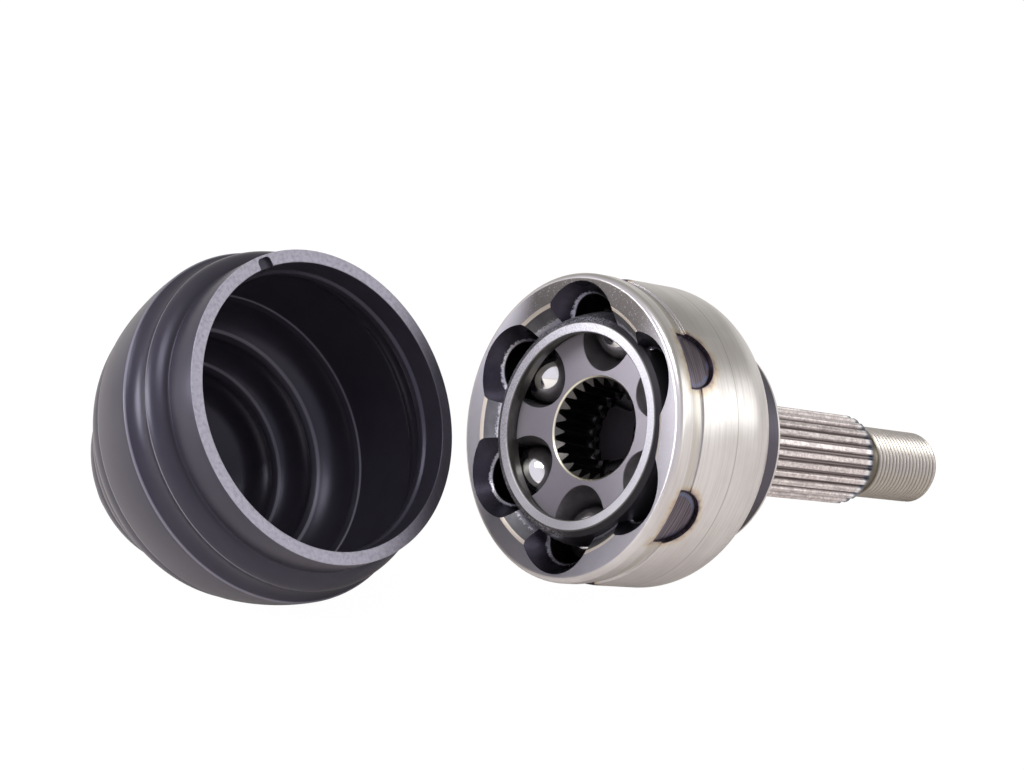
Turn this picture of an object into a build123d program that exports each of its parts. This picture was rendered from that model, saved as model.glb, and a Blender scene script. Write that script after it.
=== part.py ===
from build123d import *
import os
from math import asin, atan2, cos, degrees, hypot, radians, sin, sqrt, tan

# A fixed constant velocity joint with six balls, and the dust boot that lies beside it.
# Millimetres. The joint is modelled along X about the joint centre, mouth towards -X, stem towards +X,
# then laid on its side: the bell and the stem's end both touch the surface that it lies on.

# Ball mechanism
ball_count = 6
ball_diameter = 15.875
track_arc_radius = 27.0
track_offset = 4.0
first_track_angle = 22.5
joint_limit = 42.0
rest_articulation = 7.5

# Clearances
outer_track_clearance = 0.06
inner_track_clearance = 0.17
window_clearance = 0.32
window_end_clearance = 0.6
race_sphere_clearance = 0.05
circlip_clearance = 0.05
run_out = 3.0

# Outer race: bell
bell_radius = 39.0
mouth_to_centre = 16.5
bell_straight_length = 26.5
bell_corner_radius = 14.0
bell_length = 43.2
bell_rear_radius = 28.8
cage_seat_radius = 31.0
cavity_depth = 25.2
mouth_cone_angle = 45.0
mouth_radius = 31.8
mouth_facet_width = 0.9
mouth_facet_depth = 0.5
lip_rounding = 1.7
boot_groove_start = 4.7
boot_groove_width = 3.7
boot_groove_depth = 0.7
flare_radius = 13.0
flare_place_radius = 23.9
flare_inner_radius = 9.2
flare_depth = 6.0
pocket_radius = 7.7
pocket_middle = 6.3
pocket_depth = 0.95
pocket_corner = 1.2

# Outer race: shoulder and stem
shoulder_radius = 27.9
shoulder_width = 6.2
shoulder_bevel = 0.6
stem_neck_radius = 12.6
stem_neck_length = 6.0
stem_fillet = 2.0
stem_spline_radius = 12.4
stem_spline_root_radius = 11.2
stem_spline_teeth = 26
stem_spline_length = 52.0
stem_spline_bevel = 1.3
relief_radius = 9.1
relief_cone_radius = 10.6
relief_cone_length = 2.0
relief_length = 3.6
thread_radius = 10.0
thread_length = 27.5
thread_bevel = 1.2

# Cage
cage_sphere_gap = 0.06
cage_wall = 3.94
cage_half_width = 14.6
cage_mouth_radius = 23.7
cage_bevel = 1.0
window_corner_radius = 3.5

# Inner race
race_front_width = 8.1
race_rear_width = 11.0
race_bore_radius = 13.0
race_spline_root_radius = 11.3
race_spline_teeth = 23
race_bore_bevel = 0.5
circlip_groove_start = 14.8
circlip_groove_width = 1.7
circlip_groove_radius = 14.2
circlip_wire = 1.5
circlip_radial_width = 1.9
circlip_gap_angle = 24.0

# Boot: outline along its own axis from the mouth, each stretch ends at a station and a radius, with a bulge
boot_wall = 2.3
boot_rim_wall = 3.3
boot_mouth_radius = 39.7
boot_collar_length = 9.8
boot_mouth_bead = 0.8
boot_bead_place = 6.4
boot_bead_width = 3.2
boot_front_crest = 45.1
boot_front_crest_place = 20.4
boot_front_shoulder_bulge = 0.9
boot_front_valley_bulge = 1.3
boot_front_shoulder = 43.4
boot_front_shoulder_place = 13.8
boot_band_length = 17.1
boot_band_end_radius = 41.6
boot_band_bulge = 0.5
boot_folds = 3
boot_fold_start_radius = 40.6
boot_fold_end_radius = 24.0
boot_fold_length = 30.0
boot_fold_step = 1.4
boot_neck_length = 5.0
boot_small_radius = 15.4
boot_small_length = 9.0
boot_small_wall = 3.0
boot_small_groove_depth = 0.7
boot_small_groove_width = 5.0

# Boot: where its mouth's centre lies in plan from the joint's centre, and which way its axis runs
boot_mouth_x = -68.9
boot_mouth_y = 28.0
boot_heading = 96.6
boot_tilt = 24.8

# Values that follow
ball_radius = ball_diameter / 2
track_step = 360 / ball_count
tilt_axis_angle = first_track_angle + track_step / 2
cage_outer_radius = cage_seat_radius - cage_sphere_gap
cage_inner_radius = cage_outer_radius - cage_wall
race_sphere_radius = cage_inner_radius - race_sphere_clearance
mouth_x = -mouth_to_centre
shoulder_x = mouth_x + bell_length
shoulder_face_x = shoulder_x + shoulder_width
spline_start_x = shoulder_face_x + stem_neck_length
spline_end_x = spline_start_x + stem_spline_length
thread_start_x = spline_end_x + relief_length
stem_end_x = thread_start_x + thread_length
boot_band_end_x = boot_front_crest_place + boot_band_length
boot_neck_x = boot_band_end_x + boot_fold_length + boot_neck_length
boot_end_x = boot_neck_x + boot_small_length


def rest_tilt():
    """Angle of the axis below the level, with the bell's rear corner and the thread's end on one plane."""
    along = stem_end_x - thread_bevel - (mouth_x + bell_straight_length)
    down = bell_radius - bell_corner_radius - thread_radius
    return degrees(atan2(down, along) + asin(bell_corner_radius / hypot(along, down)))


def floor_height():
    """Height of the surface under the joint, from the joint centre."""
    tilt = radians(rest_tilt())
    corner_x = mouth_x + bell_straight_length
    corner_r = bell_radius - bell_corner_radius
    return -(corner_x * sin(tilt) + corner_r * cos(tilt) + bell_corner_radius)


def ball_centre(angle, articulation):
    """Place along X and radius of a ball that sits at an angle from the tilt axis."""
    lean = sin(radians(angle)) * tan(radians(articulation / 2))
    span = 1 + lean ** 2
    root = sqrt(span * (track_arc_radius ** 2 - track_offset ** 2) + (track_offset * lean) ** 2)
    radius = (root - track_offset * lean) / span
    return lean * radius, radius


def around(shape, index):
    """Turn a shape made at +Y to the place of one ball."""
    return Rot(X=first_track_angle + index * track_step) * shape


def articulated(shape, share):
    """Turn a shape about the tilt axis by a share of the rest articulation."""
    axis = Axis((0, 0, 0), (0, cos(radians(tilt_axis_angle)), sin(radians(tilt_axis_angle))))
    return shape.rotate(axis, rest_articulation * share)


def laid(shape):
    """Lay a piece of the joint on its side."""
    return Rot(Y=rest_tilt()) * shape


def revolved(*lines):
    """Turn a closed outline in the XY plane about X."""
    edges = [edge for line in lines for edge in line.edges()]
    return revolve(Face(Wire(edges)), Axis.X)


def limit_swing():
    """Angles on the track's arc that the ball reaches at both limits, towards the stem and the mouth."""
    swing = []
    for articulation in (joint_limit, -joint_limit):
        x, radius = ball_centre(90, articulation)
        swing.append(degrees(atan2(x + track_offset, radius)))
    return max(swing), min(swing)


def ball_track(centre_x, radius, front_angle, rear_angle):
    """Path of a ball-nosed cutter on the track's arc, at +Y, from the mouth's side to the stem's side."""
    pivot = Axis((centre_x, 0, 0), (0, 0, 1))
    section = Plane.YZ * Pos(track_arc_radius, 0) * Circle(radius)
    section = Pos(centre_x, 0, 0) * section
    start = section.rotate(pivot, front_angle)
    path = revolve(start, pivot, revolution_arc=-(front_angle + rear_angle))
    nose = Pos(centre_x, track_arc_radius, 0) * Sphere(radius)
    return path + nose.rotate(pivot, -rear_angle)


def splined(length, outer, root, teeth):
    """A straight-sided spline along +X from the YZ plane: its teeth stand between root and outer radius."""
    step = 360 / teeth
    points = []
    for tooth in range(teeth):
        for share, radius in ((0.08, root), (0.30, outer), (0.70, outer), (0.92, root)):
            turn = radians((tooth + share) * step)
            points.append((radius * cos(turn), radius * sin(turn)))
    return extrude(Plane.YZ * make_face(Polyline(*points, close=True)), length)


def bell_blank():
    """Outside of the bell with its rear shoulder, solid."""
    groove_x = mouth_x + boot_groove_start
    groove_end = groove_x + boot_groove_width
    groove_r = bell_radius - boot_groove_depth
    corner_x = mouth_x + bell_straight_length
    corner_r = bell_radius - bell_corner_radius
    run = shoulder_x - corner_x
    drop = corner_r - bell_rear_radius
    turn = atan2(drop, run) + asin(bell_corner_radius / hypot(run, drop))
    tangent = (corner_x + bell_corner_radius * sin(turn), corner_r + bell_corner_radius * cos(turn))
    middle = (corner_x + bell_corner_radius * sin(turn / 2), corner_r + bell_corner_radius * cos(turn / 2))
    lip_x = mouth_x + lip_rounding
    bevel = shoulder_bevel
    return revolved(
        Line((mouth_x, 0), (mouth_x, bell_radius - lip_rounding)),
        TangentArc((mouth_x, bell_radius - lip_rounding), (lip_x, bell_radius), tangent=(0, 1)),
        Polyline((lip_x, bell_radius), (groove_x, bell_radius), (groove_x, groove_r),
                 (groove_end, groove_r), (groove_end, bell_radius), (corner_x, bell_radius)),
        ThreePointArc((corner_x, bell_radius), middle, tangent),
        Polyline(tangent, (shoulder_x, bell_rear_radius), (shoulder_x, shoulder_radius),
                 (shoulder_face_x - bevel, shoulder_radius), (shoulder_face_x, shoulder_radius - bevel),
                 (shoulder_face_x, 0), (mouth_x, 0)),
    )


def stem():
    """Neck, spline, relief and thread core behind the shoulder."""
    foot_r = stem_neck_radius + stem_fillet
    neck = revolved(
        Line((shoulder_face_x, 0), (shoulder_face_x, foot_r)),
        RadiusArc((shoulder_face_x, foot_r), (shoulder_face_x + stem_fillet, stem_neck_radius), stem_fillet),
        Polyline((shoulder_face_x + stem_fillet, stem_neck_radius), (spline_start_x, stem_neck_radius),
                 (spline_start_x, 0), (shoulder_face_x, 0)),
    )
    teeth = Pos(spline_start_x, 0, 0) * splined(
        stem_spline_length, stem_spline_radius, stem_spline_root_radius, stem_spline_teeth)
    end_r = stem_spline_radius - stem_spline_bevel
    envelope = revolved(Polyline(
        (spline_start_x, 0), (spline_start_x, stem_spline_radius + run_out),
        (spline_end_x - stem_spline_bevel - run_out, stem_spline_radius + run_out),
        (spline_end_x, end_r), (spline_end_x, 0), (spline_start_x, 0)))
    cone_end = spline_end_x + relief_cone_length
    tip = revolved(Polyline(
        (spline_end_x, 0), (spline_end_x, relief_cone_radius), (cone_end, relief_radius),
        (thread_start_x, relief_radius), (thread_start_x + thread_radius - relief_radius, thread_radius),
        (stem_end_x - thread_bevel, thread_radius), (stem_end_x, thread_radius - thread_bevel),
        (stem_end_x, 0), (spline_end_x, 0)))
    return neck + (teeth & envelope) + tip


def ball_arc(radius, start_x, end_x):
    """Stretch of a circle about the joint centre in the XY plane, between two places along X."""
    ends = [(x, sqrt(radius ** 2 - x ** 2)) for x in (start_x, end_x)]
    middle = (atan2(ends[0][1], ends[0][0]) + atan2(ends[1][1], ends[1][0])) / 2
    return ThreePointArc(ends[0], (radius * cos(middle), radius * sin(middle)), ends[1])


def bell_cavity():
    """Seat for the cage, open at the mouth through a cone with a narrow bright facet."""
    outside = mouth_x - run_out
    facet_r = mouth_radius + mouth_facet_width
    cone_x = mouth_x + mouth_facet_depth
    slope = tan(radians(mouth_cone_angle))
    middle = (slope * mouth_radius - cone_x) / (1 + slope ** 2)
    spare = (cone_x ** 2 + mouth_radius ** 2 - cage_seat_radius ** 2) / (1 + slope ** 2)
    run = middle - sqrt(middle ** 2 - spare)
    seat_x = cone_x + run
    return revolved(
        Polyline((outside, 0), (outside, facet_r), (mouth_x, facet_r), (cone_x, mouth_radius),
                 (seat_x, sqrt(cage_seat_radius ** 2 - seat_x ** 2))),
        ball_arc(cage_seat_radius, seat_x, cavity_depth),
        Polyline((cavity_depth, sqrt(cage_seat_radius ** 2 - cavity_depth ** 2)), (cavity_depth, 0), (outside, 0)),
    )


def mouth_flare():
    """Forged flare where one ball track runs out at the mouth, at +Y."""
    length = flare_depth + run_out
    slope = (flare_radius - flare_inner_radius) / flare_depth
    funnel = Cone(flare_radius + slope * run_out, flare_inner_radius, length)
    return Pos(mouth_x - run_out + length / 2, flare_place_radius, 0) * Rot(Y=90) * funnel


def side_pocket():
    """Shallow dark pocket left by the forging behind the boot groove's front wall, at +Y."""
    bottom = bell_radius - pocket_depth
    wall = boot_groove_start - pocket_middle
    outline = Circle(pocket_radius) & Pos(wall + pocket_radius, 0) * Rectangle(2 * pocket_radius, 2 * pocket_radius)
    outline = fillet(outline.vertices(), pocket_corner)
    tool = extrude(Plane.XZ * outline, -2 * bell_radius)
    tool = Pos(mouth_x + pocket_middle, 0, 0) * tool
    core = Rot(Y=90) * Cylinder(bottom, 4 * bell_radius)
    return tool - core


def outer_race():
    """Bell and stem in one forging, with six ball tracks."""
    body = bell_blank() + stem() - bell_cavity()
    rear, _ = limit_swing()
    track = ball_track(-track_offset, ball_radius + outer_track_clearance, 50, rear + 2)
    for index in range(ball_count):
        body -= around(track, index)
        body -= around(mouth_flare(), index)
        body -= around(side_pocket(), index)
    return body


def cage():
    """Ball cage: a spherical ring with six straight-sided windows."""
    face_r = sqrt(cage_outer_radius ** 2 - cage_half_width ** 2) - cage_bevel
    edge_x = cage_half_width - cage_bevel
    edge_r = sqrt(cage_outer_radius ** 2 - edge_x ** 2)
    bore_x = sqrt(cage_inner_radius ** 2 - cage_mouth_radius ** 2)
    ring = revolved(
        Polyline((-bore_x, cage_mouth_radius), (-cage_half_width, cage_mouth_radius),
                 (-cage_half_width, face_r), (-edge_x, edge_r)),
        ball_arc(cage_outer_radius, -edge_x, edge_x),
        Polyline((edge_x, edge_r), (cage_half_width, face_r), (cage_half_width, cage_mouth_radius),
                 (bore_x, cage_mouth_radius)),
        ball_arc(cage_inner_radius, bore_x, -bore_x),
    )
    half_length = ball_radius + window_end_clearance + radians(window_shift()) * cage_outer_radius
    window = RectangleRounded(ball_diameter + 2 * window_clearance, 2 * half_length, window_corner_radius)
    tool = extrude(Plane.XZ * window, -2 * cage_outer_radius)
    for index in range(ball_count):
        ring -= around(tool, index)
    return ring


def window_shift():
    """Largest angle by which a ball moves along its window between straight and the limit."""
    half = track_step / 2
    moved = degrees(atan2(sin(radians(half)) / cos(radians(joint_limit / 2)), cos(radians(half))))
    return moved - half


def inner_race():
    """Inner race: a sphere with six ball grooves, a splined bore and a groove for the circlip."""
    width = race_front_width + race_rear_width
    front_r = sqrt(race_sphere_radius ** 2 - race_front_width ** 2)
    rear_r = sqrt(race_sphere_radius ** 2 - race_rear_width ** 2)
    star = revolved(
        Polyline((-race_front_width, 0), (-race_front_width, front_r)),
        ball_arc(race_sphere_radius, -race_front_width, race_rear_width),
        Polyline((race_rear_width, rear_r), (race_rear_width, 0), (-race_front_width, 0)),
    )
    groove = ball_track(track_offset, ball_radius + inner_track_clearance, 60, 45)
    for index in range(ball_count):
        star -= around(groove, index)
    star -= Pos(-race_front_width - run_out, 0, 0) * splined(
        width + 2 * run_out, race_bore_radius, race_spline_root_radius, race_spline_teeth)
    bevel_r = race_bore_radius + race_bore_bevel
    for side, face_x in ((1, -race_front_width), (-1, race_rear_width)):
        star -= revolved(Polyline((face_x, 0), (face_x, bevel_r), (face_x + side * bevel_r, 0), (face_x, 0)))
    groove_x = circlip_groove_start - race_front_width
    slot = Pos(groove_x + circlip_groove_width / 2, 0, 0) * Rot(Y=90) * Cylinder(
        circlip_groove_radius, circlip_groove_width)
    return star - slot


def circlip():
    """Split retaining ring, seated in the groove of the inner race's bore."""
    outer = circlip_groove_radius - circlip_clearance
    place = circlip_groove_start - race_front_width + circlip_groove_width / 2
    ring = Cylinder(outer, circlip_wire) - Cylinder(outer - circlip_radial_width, circlip_wire)
    half = radians(circlip_gap_angle / 2)
    reach = 2 * outer
    mouth = Polyline((0, 0), (reach, reach * tan(half)), (reach, -reach * tan(half)), (0, 0))
    ring -= Pos(0, 0, -circlip_wire) * extrude(make_face(mouth), 2 * circlip_wire)
    return Pos(place, 0, 0) * Rot(Y=90) * ring


def ball(index):
    """One ball, where its tracks cross at the rest articulation."""
    x, radius = ball_centre(first_track_angle + index * track_step - tilt_axis_angle, rest_articulation)
    return around(Pos(x, radius, 0) * Sphere(ball_radius), index)


def boot_side(inset):
    """Outline of the boot's wall from the mouth's collar to the small end, drawn inwards by an inset."""
    crest_x = boot_front_crest_place
    band_x = boot_band_end_x
    fold = boot_fold_length / boot_folds
    drop = (boot_fold_start_radius - boot_fold_end_radius) / boot_folds
    collar = (boot_collar_length, boot_mouth_radius - inset)
    shoulder = (boot_front_shoulder_place, boot_front_shoulder - inset)
    crest = (crest_x, boot_front_crest - inset)
    lines = [SagittaArc(collar, shoulder, boot_front_shoulder_bulge),
             SagittaArc(shoulder, crest, -boot_front_valley_bulge),
             SagittaArc(crest, (band_x, boot_band_end_radius - inset), boot_band_bulge)]
    start = (band_x, boot_band_end_radius - inset)
    for index in range(boot_folds):
        foot = (band_x + index * fold + boot_fold_step, boot_fold_start_radius - index * drop - inset
                - (boot_fold_step if index else 0))
        crest = (band_x + (index + 1) * fold, boot_fold_start_radius - (index + 1) * drop - inset)
        lines.append(Line(start, foot))
        lines.append(SagittaArc(foot, crest, boot_fold_step))
        start = crest
    return lines, start


def boot():
    """Rubber dust boot as a thin wall, its axis along X from the mouth to the small end."""
    outside, outer_end = boot_side(0)
    inside, inner_end = boot_side(boot_wall)
    neck_x, end_x = boot_neck_x, boot_end_x
    small_bore = boot_small_radius - boot_small_wall
    groove_in = (boot_small_length - boot_small_groove_width) / 2
    groove_r = boot_small_radius - boot_small_groove_depth
    mouth_bore = boot_mouth_radius - boot_rim_wall
    bead_r = mouth_bore - boot_mouth_bead
    bead_x = boot_bead_place
    bead_end = bead_x + boot_bead_width
    outline = [Polyline((0, mouth_bore), (0, boot_mouth_radius), (boot_collar_length, boot_mouth_radius))]
    outline += outside
    outline.append(Polyline(
        outer_end, (neck_x, boot_small_radius), (neck_x + groove_in, boot_small_radius),
        (neck_x + groove_in, groove_r), (end_x - groove_in, groove_r), (end_x - groove_in, boot_small_radius),
        (end_x, boot_small_radius), (end_x, small_bore), (neck_x, small_bore), inner_end))
    outline += inside
    outline.append(Polyline(
        (boot_collar_length, boot_mouth_radius - boot_wall), (boot_collar_length, mouth_bore),
        (bead_end, mouth_bore), (bead_end - boot_mouth_bead, bead_r),
        (bead_x + boot_mouth_bead, bead_r), (bead_x, mouth_bore), (0, mouth_bore)))
    return revolved(*outline)


def boot_placed():
    """The boot on its side beside the joint, let down until it touches the surface."""
    leaned = Rot(Z=boot_heading) * Rot(Y=boot_tilt) * boot()
    height = floor_height() - leaned.bounding_box().min.Z
    return Pos(boot_mouth_x, boot_mouth_y, height) * leaned


def all_pieces():
    """Every piece in its place, by name."""
    pieces = {
        "outer_race": outer_race(),
        "cage": articulated(cage(), 0.5),
        "inner_race": articulated(inner_race(), 1),
        "circlip": articulated(circlip(), 1),
    }
    for index in range(ball_count):
        pieces[f"ball_{index + 1}"] = ball(index)
    pieces = {name: laid(piece) for name, piece in pieces.items()}
    pieces["boot"] = boot_placed()
    return pieces


os.makedirs("parts", exist_ok=True)
for name, piece in all_pieces().items():
    export_step(piece, f"parts/{name}.step")
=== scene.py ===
from math import asin, atan2, cos, hypot, pi, radians, sin, sqrt

import bmesh
import bpy
from mathutils import Matrix, Vector


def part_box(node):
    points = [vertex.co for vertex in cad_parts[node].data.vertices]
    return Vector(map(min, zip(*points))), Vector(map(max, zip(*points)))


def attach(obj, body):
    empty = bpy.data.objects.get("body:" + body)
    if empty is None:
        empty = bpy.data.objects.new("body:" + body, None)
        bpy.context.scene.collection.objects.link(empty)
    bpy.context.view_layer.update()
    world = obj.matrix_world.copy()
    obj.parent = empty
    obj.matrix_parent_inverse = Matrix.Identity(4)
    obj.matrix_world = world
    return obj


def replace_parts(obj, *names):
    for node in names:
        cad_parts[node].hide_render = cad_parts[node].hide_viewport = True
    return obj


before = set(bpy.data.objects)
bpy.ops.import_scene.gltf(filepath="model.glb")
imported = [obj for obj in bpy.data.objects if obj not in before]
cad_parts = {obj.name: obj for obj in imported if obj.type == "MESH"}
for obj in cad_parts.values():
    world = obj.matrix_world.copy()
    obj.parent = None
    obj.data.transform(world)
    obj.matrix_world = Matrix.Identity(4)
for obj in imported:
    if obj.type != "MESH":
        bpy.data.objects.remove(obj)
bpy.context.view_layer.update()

# The joint is drawn in millimetres along X about its centre, mouth towards -X, then laid on its side.
# The sizes are the ones that the solids have.

# Ball mechanism
ball_count = 6
ball_radius = 7.9375
track_arc_radius = 27.0
track_offset = 4.0
first_track_angle = 22.5
tilt_axis_angle = 52.5
rest_articulation = 7.5
outer_track_clearance = 0.06
inner_track_clearance = 0.17
outer_track_sweep = (50, 56)
inner_track_sweep = (60, 45)

# Bell and stem
bell_radius = 39.0
mouth_x = -16.5
bell_straight_length = 26.5
bell_corner_radius = 14.0
shoulder_x = 26.7
bell_rear_radius = 28.8
cage_seat_radius = 31.0
cavity_depth = 25.2
mouth_radius = 31.8
mouth_facet_width = 0.9
mouth_facet_depth = 0.5
lip_rounding = 1.7
groove_start = 4.7
groove_width = 3.7
groove_depth = 0.7
flare_radius = 13.0
flare_place_radius = 23.9
flare_inner_radius = 9.2
flare_depth = 6.0
pocket_radius = 7.7
pocket_middle = 6.3
pocket_depth = 0.95
seam_place = 20.6
shoulder_radius = 27.9
shoulder_face_x = 32.9
shoulder_chamfer = 0.6
neck_radius = 12.6
neck_fillet = 2.0
spline_start_x = 38.9
spline_end_x = 90.9
spline_radius = 12.4
spline_root_radius = 11.2
spline_teeth = 26
relief_radius = 9.1
thread_start_x = 94.5
thread_radius = 10.0
thread_pitch = 1.5
thread_depth = 0.8
stem_end_x = 122.0

# Cage and inner race
cage_outer_radius = 30.94
cage_inner_radius = 27.0
cage_half_width = 14.6
cage_mouth_radius = 23.7
cage_bevel = 1.0
cage_face_radius = 26.2
window_half_width = 8.2575
window_half_length = 9.6
window_corner = 3.5
race_sphere_radius = 26.95
race_front_width = 8.1
race_rear_width = 11.0
race_bore_radius = 13.0
race_spline_root_radius = 11.3
race_spline_teeth = 23
circlip_groove_x = 6.7
circlip_groove_width = 1.7
circlip_groove_radius = 14.2

# Boot
boot_wall = 2.3
boot_rim_wall = 3.3
boot_mouth_radius = 39.7
boot_collar_length = 9.8
boot_bead_place = 6.4
boot_bead_width = 3.2
boot_bead_height = 0.8
boot_shoulder = (13.8, 43.4)
boot_shoulder_bulge = 0.9
boot_crest = (20.4, 45.1)
boot_valley_bulge = 1.3
boot_band_bulge = 0.5
boot_band_end_x = 37.5
boot_band_end_radius = 41.6
boot_folds = 3
boot_fold_start_radius = 40.6
boot_fold_end_radius = 24.0
boot_fold_length = 30.0
boot_fold_step = 1.4
boot_neck_x = 72.5
boot_small_radius = 15.4
boot_small_length = 9.0
boot_small_bore = 12.4
boot_mouth_x = -68.9
boot_mouth_y = 28.0
boot_heading = 96.6
boot_tilt = 24.8
boot_notch_turn = 82.0
boot_notch_width = 4.2
boot_notch_depth = 1.1

# Camera, in metres, and the photograph's frame
camera_place = (-0.38468, -0.41475, 0.15439)
camera_forward = (0.62643, 0.74046, -0.2436)
focal_pixels = 2300
frame_pixels = 1024
sensor_width = 36

# Room: places from below to above with their shades, and the tint towards the mouth's side
room_shades = ((0.0, (0.96, 0.945, 0.92)), (0.25, (0.78, 0.76, 0.73)),
               (0.55, (0.40, 0.385, 0.365)), (1.0, (0.58, 0.565, 0.54)))
room_violet = (0.84, 0.81, 0.92, 1)

# Steps of a full turn, for large, middle and small round shapes
fine_turn = 288
middle_turn = 240
small_turn = 192


def seat_start():
    """Where the mouth's cone meets the cage's seat, along X."""
    cone_x = mouth_x + mouth_facet_depth
    middle = (mouth_radius - cone_x) / 2
    return cone_x + middle - sqrt(middle ** 2 - (cone_x ** 2 + mouth_radius ** 2 - cage_seat_radius ** 2) / 2)


def rest_tilt():
    """Angle of the joint's axis below the level, lying on the bell's corner and the thread's end."""
    along = stem_end_x - 1.2 - (mouth_x + bell_straight_length)
    down = bell_radius - bell_corner_radius - thread_radius
    return atan2(down, along) + asin(bell_corner_radius / hypot(along, down))


def floor_height():
    """Height of the surface below the joint's centre, in millimetres."""
    tilt = rest_tilt()
    corner_r = bell_radius - bell_corner_radius
    return -((mouth_x + bell_straight_length) * sin(tilt) + corner_r * cos(tilt) + bell_corner_radius)


seat_start_x = seat_start()
LAID = Matrix.Rotation(rest_tilt(), 4, "Y")
TILT_AXIS = Vector((0, cos(radians(tilt_axis_angle)), sin(radians(tilt_axis_angle))))
LAID_CAGE = LAID @ Matrix.Rotation(radians(rest_articulation / 2), 4, TILT_AXIS)
LAID_RACE = LAID @ Matrix.Rotation(radians(rest_articulation), 4, TILT_AXIS)


# Outlines: lists of (x, r) in millimetres

def arc(start, end, rise, steps=12):
    """Points on the arc from start to end that stands off its chord by rise, to the left of its run."""
    (x0, r0), (x1, r1) = start, end
    chord = hypot(x1 - x0, r1 - r0)
    radius = (chord ** 2 / 4 + rise ** 2) / (2 * abs(rise))
    side = 1 if rise > 0 else -1
    nx, nr = -(r1 - r0) / chord * side, (x1 - x0) / chord * side
    back = radius - abs(rise)
    cx, cr = (x0 + x1) / 2 - nx * back, (r0 + r1) / 2 - nr * back
    first, last = atan2(r0 - cr, x0 - cx), atan2(r1 - cr, x1 - cx)
    turn = (last - first + pi) % (2 * pi) - pi
    return [(cx + radius * cos(first + turn * i / steps), cr + radius * sin(first + turn * i / steps))
            for i in range(steps + 1)]


def centred_arc(radius, start_x, end_x, steps=24):
    """Points of a circle about the joint's centre, from one place along X to another."""
    first, last = (atan2(sqrt(radius ** 2 - x ** 2), x) for x in (start_x, end_x))
    turns = [first + (last - first) * i / steps for i in range(steps + 1)]
    return [(radius * cos(turn), radius * sin(turn)) for turn in turns]


def softened(points, radius, steps=3):
    """The same outline with its inner corners rounded."""
    run = [points[0]]
    for before, corner, after in zip(points, points[1:], points[2:]):
        to_before = Vector(before) - Vector(corner)
        to_after = Vector(after) - Vector(corner)
        reach = min(radius, to_before.length / 2, to_after.length / 2)
        if reach < 1e-6 or abs(to_before.angle(to_after) - pi) < 0.2:
            run.append(corner)
            continue
        a, b = Vector(corner) + to_before.normalized() * reach, Vector(corner) + to_after.normalized() * reach
        for i in range(steps + 1):
            t = i / steps
            run.append(tuple(a * (1 - t) ** 2 + Vector(corner) * 2 * t * (1 - t) + b * t ** 2))
    return run + [points[-1]]


def boot_wall_line(inset):
    """Outline of the boot's wall from the collar to the small end, drawn inwards by an inset."""
    fold = boot_fold_length / boot_folds
    drop = (boot_fold_start_radius - boot_fold_end_radius) / boot_folds
    line = arc((boot_collar_length, boot_mouth_radius), boot_shoulder, boot_shoulder_bulge, 10)
    line += arc(boot_shoulder, boot_crest, -boot_valley_bulge, 14)[1:]
    line += arc(boot_crest, (boot_band_end_x, boot_band_end_radius), boot_band_bulge, 14)[1:]
    for index in range(boot_folds):
        foot = (boot_band_end_x + index * fold + boot_fold_step,
                boot_fold_start_radius - index * drop - (boot_fold_step if index else 0))
        crest = (boot_band_end_x + (index + 1) * fold, boot_fold_start_radius - (index + 1) * drop)
        line += arc(foot, crest, boot_fold_step, 14)
    return [(x, r - inset) for x, r in line]


def boot_place():
    """Where the boot lies, from its own axis along X: let down until it touches the surface."""
    tilt = radians(boot_tilt)
    height = floor_height() + max(x * sin(tilt) + r * cos(tilt) for x, r in boot_wall_line(0))
    turned = Matrix.Rotation(radians(boot_heading), 4, "Z") @ Matrix.Rotation(tilt, 4, "Y")
    return Matrix.Translation((boot_mouth_x, boot_mouth_y, height)) @ turned


BOOT = boot_place()


# Meshes

def spun(outline, steps, closed=False):
    """Turn an outline about X. A closed outline becomes a ring, an open one starts and ends on the axis."""
    bm = bmesh.new()
    chain = [bm.verts.new((x, r, 0)) for x, r in outline]
    edges = [bm.edges.new(pair) for pair in zip(chain, chain[1:])]
    if closed:
        edges.append(bm.edges.new((chain[-1], chain[0])))
    bmesh.ops.spin(bm, geom=chain + edges, cent=(0, 0, 0), axis=(1, 0, 0), dvec=(0, 0, 0),
                   angle=2 * pi, steps=steps, use_merge=True, use_duplicate=False)
    bmesh.ops.remove_doubles(bm, verts=bm.verts, dist=1e-4)
    bmesh.ops.recalc_face_normals(bm, faces=bm.faces)
    return bm


def extrude(bm, faces, reach):
    """Draw faces out by a vector, with walls behind them."""
    made = bmesh.ops.extrude_face_region(bm, geom=faces)
    moved = [v for v in made["geom"] if isinstance(v, bmesh.types.BMVert)]
    bmesh.ops.translate(bm, verts=moved, vec=reach)


def splined_bar(start_x, length, tooth, teeth):
    """A straight bar with teeth along X: tooth lists (share of the pitch, radius)."""
    bm = bmesh.new()
    step = 2 * pi / teeth
    rim = []
    for index in range(teeth):
        for share, radius in tooth:
            turn = (index + share) * step
            rim.append(bm.verts.new((start_x, radius * cos(turn), radius * sin(turn))))
    extrude(bm, [bm.faces.new(rim)], (length, 0, 0))
    bmesh.ops.recalc_face_normals(bm, faces=bm.faces)
    return bm


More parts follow.
